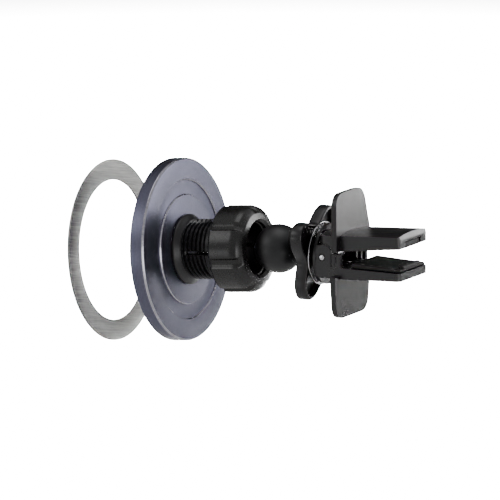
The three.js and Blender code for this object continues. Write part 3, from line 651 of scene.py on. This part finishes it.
# ---------------------------------------------------------------------------- socket and nut
@dataclass
class BallSocket:
    """The threaded collet and the collar nut that closes it."""

    pitch: float = 1.6
    depth: float = 0.95
    crest: float = 10.0
    thread_start: float = 2.2
    thread_length: float = 9.6
    tip_radius: float = 9.35
    slot_width: float = 1.3
    slot_start: float = 3.6
    nut_bore: float = 10.35
    nut_land: float = 11.8
    lobes: int = 7
    lobe_turn: float = 165.0
    groove_share: float = 0.27
    groove_depth: float = 1.1

    def threaded(self, neck: Reach) -> bpy.types.Object:
        """The neck's skin: flange, cone, helical thread, relief band, finger tips, cup and bore.

        The thread's radius is the crest less its depth times a flat-topped wave of x / pitch minus
        the angle's share of a turn, faded in and out over half a pitch at each end.
        """
        sides = 200
        angle = np.arange(sides) / sides * TAU
        flange, tip = neck.low[0], neck.high[0]
        crest = self.crest
        start = flange + self.thread_start
        x = np.linspace(start, start + self.thread_length, 150)
        turn = (x[:, None] - start) / self.pitch - angle / TAU
        wave = 0.5 - 0.5 * np.cos(TAU * turn)
        tooth = np.clip((wave - 0.06) / 0.5, 0, 1)
        fade = np.clip(np.minimum(x - start, start + self.thread_length - x) / (self.pitch / 2), 0, 1)
        thread = crest - self.depth * tooth * fade[:, None]
        ball = reach("ball", CLIP)
        cup = ball.radius + 0.3
        before = rounded([
            (0.0, flange, 0.0), (neck.radius, flange, 0.12), (neck.radius, flange + 0.8, 0.3),
            (crest, start - 0.1, 0.2), (crest, start, 0.0)], steps=5, closed=False)
        seat = -joint("head_slide")["range_m"][1] / MM
        bowl = np.linspace(0.0, 0.5 * math.pi, 18)[:-1]
        after = np.vstack([
            rounded([
                (crest, x[-1] + 0.1, 0.0), (crest, tip - 4.0, 0.5), (self.tip_radius, tip, 0.25),
                (cup + 0.25, tip, 0.2), (cup, tip - 0.4, 0.2), (cup, seat, 0.0)], steps=5, closed=False),
            np.stack([cup * np.cos(bowl), seat - cup * np.sin(bowl)], -1),
            [[0.0, seat - cup]]])
        rows = np.vstack([
            np.broadcast_to(before[:, :1], (len(before), sides)), thread,
            np.broadcast_to(after[:, :1], (len(after), sides))])
        along = np.concatenate([before[:, 1], x, after[:, 1]])[:, None]
        grid = np.stack(np.broadcast_arrays(along, rows * np.cos(angle), rows * np.sin(angle)), -1)
        return skin("socket_collet", HEAD.out(grid))

    def neck(self) -> bpy.types.Object:
        """The threaded neck with its slots cut through to the middle."""
        neck = reach("socket_neck", HEAD)
        body = self.threaded(neck)
        half, reach_out = self.slot_width / 2, neck.radius + 1
        back = neck.low[0] + self.slot_start
        cutters = [
            box_piece("slot_upright", HEAD, (back, -half, -reach_out), (1.0, half, reach_out)),
            box_piece("slot_level", HEAD, (back, -reach_out, -half), (1.0, reach_out, half)),
        ]
        return carved(body, cutters)

    def nut(self) -> bpy.types.Object:
        """The collar nut: a turned section whose outside is pulled in at each groove.

        A groove's pull is the sine of how far the angle is past the lobe's edge, flat-bottomed, and
        it fades to nothing on the front face and in the bore.
        """
        part = reach("collar_nut", HEAD)
        sides = self.lobes * 40
        angle = np.arange(sides) / sides * TAU
        turn = (angle - math.radians(self.lobe_turn)) / TAU * self.lobes
        from_middle = np.abs(turn - np.round(turn))
        half = self.groove_share / 2
        into = np.clip((from_middle - (0.5 - half)) / half, 0, 1)
        pull = np.sin(np.clip(into * 1.7, 0, 1) * math.pi / 2) ** 1.3
        outer, back, front = part.radius, part.low[0], part.high[0]
        mouth, bore = part.bore, self.nut_bore
        steps = 7
        section = np.array([
            (bore, back + 0.3, 0.2, 0.0), (bore + 0.4, back, 0.2, 0.0), (outer - 0.5, back, 0.5, 0.6),
            (outer, back + 0.6, 0.5, 1.0), (outer, front - 3.6, 0.8, 1.0),
            (outer - 0.5, front - 2.0, 0.5, 1.0), (outer - 1.6, front - 1.1, 0.4, 0.5),
            (self.nut_land, front - 0.35, 0.25, 0.0), (9.8, front, 0.15, 0.0),
            (9.6, front - 0.25, 0.1, 0.0), (mouth, front - 1.0, 0.1, 0.0), (9.65, front - 1.8, 0.1, 0.0),
            (9.65, front - 2.1, 0.3, 0.0), (bore, front - 6.1, 0.3, 0.0)])
        profile = rounded([tuple(row[:3]) for row in section], steps=steps)
        depth = np.repeat(section[:, 3], steps)
        side = steps // 2
        blend = np.convolve(np.r_[depth[-side:], depth, depth[:side]], np.ones(steps) / steps, "valid")
        radius = profile[:, :1] - self.groove_depth * blend[:, None] * pull
        x = profile[:, 1:]
        grid = np.stack(np.broadcast_arrays(x, radius * np.cos(angle), radius * np.sin(angle)), -1)
        return skin("socket_collar", HEAD.out(grid), wrap_rows=True)

    def build(self) -> None:
        """Build and dress the neck and the nut."""
        neck = self.neck()
        dress(neck, SATIN_ABS.build())
        place_piece(neck, "head", ("socket_neck",))
        nut = self.nut()
        dress(nut, NUT_NYLON.build())
        place_piece(nut, "nut", ("collar_nut",))


# ---------------------------------------------------------------------------- ball, knob and washer
@dataclass
class BallAndKnob:
    """The ball on its neck, the clamping knob, its washer and the thread between them."""

    knob_lobes: int = 4
    knob_turn: float = 57.0
    valley: float = 10.2
    rim: float = 1.3
    recess: float = 2.0
    neck_radius: float = 3.1
    neck_end: float = 10.4
    washer_dish: float = 0.12
    thread_root: float = 4.7
    thread_pitch: float = 1.25

    def ball(self) -> bpy.types.Object:
        """The ball and its neck in one skin: a circle's arc that flares into the neck."""
        part = reach("ball", CLIP)
        radius = part.radius
        neck, end = self.neck_radius, self.neck_end
        steps = 6
        meet = math.pi - math.asin(neck / radius) * 1.25
        arc = np.linspace(0, meet, 72)
        sphere = np.stack([radius * np.sin(arc), -radius * np.cos(arc)], -1)
        flare = rounded([
            (sphere[-1, 0], sphere[-1, 1], 0.0), (neck, sphere[-1, 1] + 0.7, 0.6),
            (neck, end, 0.0), (0.0, end, 0.0)], steps=steps, closed=False)
        return turned("ball_and_neck", CLIP, np.vstack([sphere, flare[steps:]]), sides=128)

    def knob(self) -> bpy.types.Object:
        """The knob: a closed section whose outer part follows the lobed outline.

        The outline's radius is the middle of tip and valley plus half their difference times the
        cosine of four times the angle; each row's radius is the bore's, plus its share of the way
        from the bore to the outline, less its inset.
        """
        part = reach("clamp_knob", CLIP)
        bore, back, front = part.bore, part.low[0], part.high[0]
        sides = 240
        angle = np.arange(sides) / sides * TAU
        middle, swing = (part.radius + self.valley) / 2, (part.radius - self.valley) / 2
        outline = middle + swing * np.cos(self.knob_lobes * (angle - math.radians(self.knob_turn)))
        deep = front - self.recess
        section = [
            (0.0, 0.0, back + 0.2), (0.0, -0.2, back), (0.5, 0.0, back), (1.0, 1.4, back),
            (1.0, 0.8, back + 0.03), (1.0, 0.4, back + 0.16), (1.0, 0.12, back + 0.42),
            (1.0, 0.0, back + 0.85), (1.0, 0.0, front - 0.85), (1.0, 0.12, front - 0.42),
            (1.0, 0.35, front - 0.14), (1.0, 0.62, front), (1.0, self.rim - 0.1, front),
            (1.0, self.rim, front - 0.1), (1.0, self.rim + 0.12, deep + 0.15),
            (1.0, self.rim + 0.3, deep), (0.5, 0.0, deep), (0.0, -0.6, deep),
            (0.0, -0.4, deep + 0.1), (0.0, -0.3, front - 0.1), (0.0, 0.0, front)]
        share, inset, x = (np.array(column)[:, None] for column in zip(*section))
        radius = bore + (outline - bore) * share - inset
        grid = np.stack(np.broadcast_arrays(x, radius * np.cos(angle), radius * np.sin(angle)), -1)
        return skin("clover_knob", CLIP.out(grid), wrap_rows=True)

    def washer(self) -> bpy.types.Object:
        """The bright washer, slightly dished, with rolled edges."""
        part = reach("clamp_washer", CLIP)
        low, high, dish = part.low[0], part.high[0], self.washer_dish
        bend = part.radius * 0.8
        profile = rounded([
            (part.bore, low, 0.15), (bend, low, 1.0), (part.radius, low + dish, 0.2),
            (part.radius, high, 0.2), (bend, high - dish, 1.0), (part.bore, high - dish, 0.15)], steps=6)
        return turned("bright_washer", CLIP, profile, sides=144, ring=True)

    def thread(self) -> bpy.types.Object:
        """The barrel's thread: a sleeve whose radius is a wave of x / pitch minus the angle's turn."""
        knob, body = reach("clamp_knob", CLIP), reach("clip_body", CLIP)
        root, crest = self.thread_root, knob.bore - 0.08
        start, end = body.low[0] + 1.9, reach("clamp_washer", CLIP).high[0] + 1.1
        sides = 96
        angle = np.arange(sides) / sides * TAU
        x = np.linspace(start, end, 120)
        wave = 0.5 + 0.5 * np.cos(TAU * ((x[:, None] - start) / self.thread_pitch - angle / TAU))
        fade = np.clip(np.minimum(x - start, end - x) / 0.5, 0, 1)[:, None]
        radius = root + (crest - root) * wave * fade
        closed = np.vstack([np.zeros((1, sides)), radius, np.zeros((1, sides))])
        along = np.r_[start, x, end][:, None]
        grid = np.stack(np.broadcast_arrays(along, closed * np.cos(angle), closed * np.sin(angle)), -1)
        return skin("barrel_thread", CLIP.out(grid))

    def build(self) -> None:
        """Build and dress the ball, knob, washer and thread."""
        ball = self.ball()
        dress(ball, BALL_COAT.build())
        place_piece(ball, "clip", ("ball", "ball_stud"))
        plastic = SATIN_ABS.build()
        knob = self.knob()
        dress(knob, plastic)
        place_piece(knob, "knob", ("clamp_knob",))
        washer = self.washer()
        dress(washer, CHROME.build())
        place_piece(washer, "washer", ("clamp_washer",))
        thread = self.thread()
        dress(thread, plastic)
        place_piece(thread, "clip")


# ---------------------------------------------------------------------------- clip
@dataclass
class VentClip:
    """The two jaws with their wings, pads, pin and spring."""

    edge: float = 0.28
    pad_edge: float = 0.2
    wire: float = 0.4
    coil: float = 1.9
    turns: float = 4.5
    coil_half: float = 2.3
    leg: float = 7.0

    def spring(self) -> tuple[bpy.types.Object, bpy.types.Object]:
        """The torsion spring as a coil with its lower leg, and the upper leg.

        The coil is a helix about the pin: x and z go round with the angle while y runs across. Each
        leg leaves it along the coil's tangent, straight ahead.
        """
        t = np.linspace(0, 1, 150)
        angle = -math.pi / 2 - t * self.turns * TAU
        across = self.coil_half * (2 * t - 1)
        helix = np.stack([self.coil * np.cos(angle), across, self.coil * np.sin(angle)], -1)
        away = np.linspace(1, 0, 14)[:-1, None]
        lower = helix[:1] + away * np.array([self.leg, 0.0, -0.3])
        upper = helix[-1:] + away[::-1] * np.array([self.leg, 0.0, self.leg * 0.45])
        body = tube("spring_coil", PIN, np.vstack([lower, helix]), self.wire)
        leg = tube("spring_leg", PIN, np.vstack([helix[-1:], upper]), self.wire)
        return body, leg

    def pin(self) -> bpy.types.Object:
        """The hinge pin: a rod across the jaws with softly domed ends."""
        low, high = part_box("pivot_pin")
        radius = (high.z - low.z) / 2 / MM
        half = (high.y - low.y) / 2 / MM
        profile = rounded([
            (0.0, -half, 0.0), (radius, -half, 0.3), (radius, half, 0.3), (0.0, half, 0.0)], closed=False)
        sides = 40
        angle = np.arange(sides) / sides * TAU
        r, y = profile[:, :1], profile[:, 1:]
        grid = np.stack(np.broadcast_arrays(r * np.cos(angle), y, r * np.sin(angle)), -1)
        return skin("hinge_pin", PIN.out(grid))

    def build(self) -> None:
        """Build and dress the clip."""
        plastic, rubber, chrome = SATIN_ABS.build(), PAD_RUBBER.build(), CHROME.build()
        for name, node, body, edge, material, slot in (
            ("clip_moulding", "clip_body", "clip", self.edge, plastic, "black_plastic"),
            ("jaw_moulding", "upper_jaw", "upper_jaw", self.edge, plastic, "black_plastic"),
            ("lower_grip", "lower_pad", "clip", self.pad_edge, rubber, "pad_rubber"),
            ("upper_grip", "upper_pad", "upper_jaw", self.pad_edge, rubber, "pad_rubber"),
        ):
            piece = moulding(name, node, edge)
            dress(piece, material)
            place_piece(piece, body)
        pin = self.pin()
        dress(pin, chrome)
        place_piece(pin, "clip", ("pivot_pin",))
        coil, leg = self.spring()
        dress(coil, chrome)
        place_piece(coil, "clip", ("torsion_spring",))
        dress(leg, chrome)
        place_piece(leg, "upper_jaw")


# ---------------------------------------------------------------------------- studio
@dataclass
class Studio:
    """A pale floor, soft lights and a long lens."""

    azimuth: float = 28.2
    elevation: float = 10.8
    distance: float = 3.0
    sensor: float = 36.0
    field: float = 0.165
    aim_right: float = -9.57
    aim_up: float = -0.53
    floor_drop: float = 0.16
    spot_height: float = 1.8
    floor_power: float = 5000.0
    surround: float = 0.55
    dark: float = 0.04
    dark_from: float = 0.5
    dark_to: float = 0.85

    def axes(self) -> tuple[np.ndarray, np.ndarray, np.ndarray]:
        """The camera's right, up and backward directions."""
        a, e = math.radians(self.azimuth), math.radians(self.elevation)
        back = np.array([math.sin(a) * math.cos(e), -math.cos(a) * math.cos(e), math.sin(e)])
        right = np.array([math.cos(a), math.sin(a), 0.0])
        return right, np.cross(back, right), back

    def camera(self) -> None:
        """Aim a long lens so that the square view is one field wide at the ball."""
        right, up, back = self.axes()
        target = BALL_CENTRE + (right * self.aim_right + up * self.aim_up) * MM
        data = bpy.data.cameras.new("studio_camera")
        data.sensor_width = self.sensor
        data.lens = self.sensor * self.distance / self.field
        data.clip_end = 50
        camera = bpy.data.objects.new("studio_camera", data)
        bpy.context.scene.collection.objects.link(camera)
        turn = np.eye(4)
        turn[:3, 0], turn[:3, 1], turn[:3, 2], turn[:3, 3] = right, up, back, target + back * self.distance
        camera.matrix_world = Matrix(turn.tolist())
        bpy.context.scene.camera = camera

    def panel(
        self, name: str, at: np.ndarray, facing: np.ndarray, size: tuple[float, float], radiance: float
    ) -> None:
        """A rectangular soft light, out of the camera's sight.

        Args:
            name: the light's name.
            at: its middle, in metres.
            facing: the direction in which it shines.
            size: width and height in metres.
            radiance: how bright its face is; its power is that times pi times its area.
        """
        data = bpy.data.lights.new(name, "AREA")
        data.shape, data.size, data.size_y = "RECTANGLE", size[0], size[1]
        data.energy = radiance * math.pi * size[0] * size[1]
        lamp = bpy.data.objects.new(name, data)
        lamp.visible_camera = False
        bpy.context.scene.collection.objects.link(lamp)
        back = -facing / np.linalg.norm(facing)
        side = np.cross([0.0, 0.0, 1.0], back) if abs(back[2]) < 0.99 else np.array([1.0, 0.0, 0.0])
        side /= np.linalg.norm(side)
        turn = np.eye(4)
        turn[:3, 0], turn[:3, 1], turn[:3, 2], turn[:3, 3] = side, np.cross(back, side), back, at
        lamp.matrix_world = Matrix(turn.tolist())

    def floor(self) -> None:
        """A wide pale floor well below the mount."""
        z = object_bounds()[0][2] - self.floor_drop
        mesh = bpy.data.meshes.new("floor")
        wide = 8.0
        corners = [(-wide, -wide, z), (wide, -wide, z), (wide, wide, z), (-wide, wide, z)]
        mesh.from_pydata(corners, [], [(0, 1, 2, 3)])
        floor = bpy.data.objects.new("floor", mesh)
        bpy.context.scene.collection.objects.link(floor)
        material = bpy.data.materials.new("pale_floor")
        material.use_nodes = True
        shader = material.node_tree.nodes["Principled BSDF"]
        shader.inputs["Base Color"].default_value = linear("#f7f7f7")
        shader.inputs["Roughness"].default_value = 0.9
        mesh.materials.append(material)
        floor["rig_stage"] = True

    def world(self) -> None:
        """A white surround with a dark patch behind the mount, low over the floor."""
        world = bpy.data.worlds.new("surround")
        world.use_nodes = True
        tree = world.node_tree
        back = self.axes()[2]
        away = np.array([-back[0], -back[1], back[2]])
        direction = add(tree, "ShaderNodeTexCoord").outputs["Generated"]
        towards = add(tree, "ShaderNodeVectorMath", {"operation": "DOT_PRODUCT"}, {0: direction})
        towards.inputs[1].default_value = (away / np.linalg.norm(away)).tolist()
        strength = add(tree, "ShaderNodeMapRange", {
            "interpolation_type": "SMOOTHSTEP", "From Min": self.dark_from, "From Max": self.dark_to,
            "To Min": self.surround, "To Max": self.dark}, {"Value": towards.outputs["Value"]})
        background = tree.nodes["Background"]
        background.inputs["Color"].default_value = (1, 1, 1, 1)
        tree.links.new(strength.outputs["Result"], background.inputs["Strength"])
        bpy.context.scene.world = world

    def lights(self) -> None:
        """Place the soft lights round the mount and the lamp over the floor behind it."""
        back = self.axes()[2]
        level = np.array([-back[0], -back[1], 0.0]) / math.hypot(back[0], back[1])
        floor_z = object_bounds()[0][2] - self.floor_drop
        for name, target, towards, distance, size, radiance in (
            ("key_light", BALL_CENTRE, (-0.65, -0.6, 0.55), 1.2, (0.6, 0.5), 2.2),
            ("fill_light", BALL_CENTRE, (0.865, -0.463, 0.0), 0.8, (0.25, 0.3), 4.0),
            ("wing_light", np.array([-0.002, 0.0, 0.087]), (0.49, 0.866, -0.098), 0.2, (0.08, 0.14), 9.0),
            ("rim_light", BALL_CENTRE, (-0.6, -0.79, -0.08), 1.1, (0.5, 0.25), 1.6),
            ("top_light", BALL_CENTRE, (0.0, 0.0, 1.0), 1.2, (0.8, 0.8), 1.6),
        ):
            way = np.array(towards) / np.linalg.norm(towards)
            self.panel(name, target + way * distance, -way, size, radiance)
        self.spot(BALL_CENTRE + level * 1.05, floor_z)

    def spot(self, over: np.ndarray, floor_z: float) -> None:
        """A lamp high over the floor behind the mount, whose cone misses the mount."""
        data = bpy.data.lights.new("floor_light", "SPOT")
        data.energy = self.floor_power
        data.spot_size, data.spot_blend = 2 * math.atan(0.75 / self.spot_height), 0.5
        data.shadow_soft_size = 0.1
        lamp = bpy.data.objects.new("floor_light", data)
        lamp.visible_camera = False
        bpy.context.scene.collection.objects.link(lamp)
        lamp.location = (over[0], over[1], floor_z + self.spot_height)

    def build(self) -> None:
        """Set up the whole studio."""
        self.camera()
        self.floor()
        self.world()
        self.lights()


def main() -> None:
    """Build the studio and every sub-assembly in order."""
    logging.basicConfig(level=logging.INFO, format="%(name)s: %(message)s")
    Studio().build()
    for assembly in (PhoneRing(), MagnetDisc(), BallSocket(), BallAndKnob(), VentClip()):
        LOG.info("building %s", type(assembly).__name__)
        assembly.build()


if __name__ == "__main__":
    main()
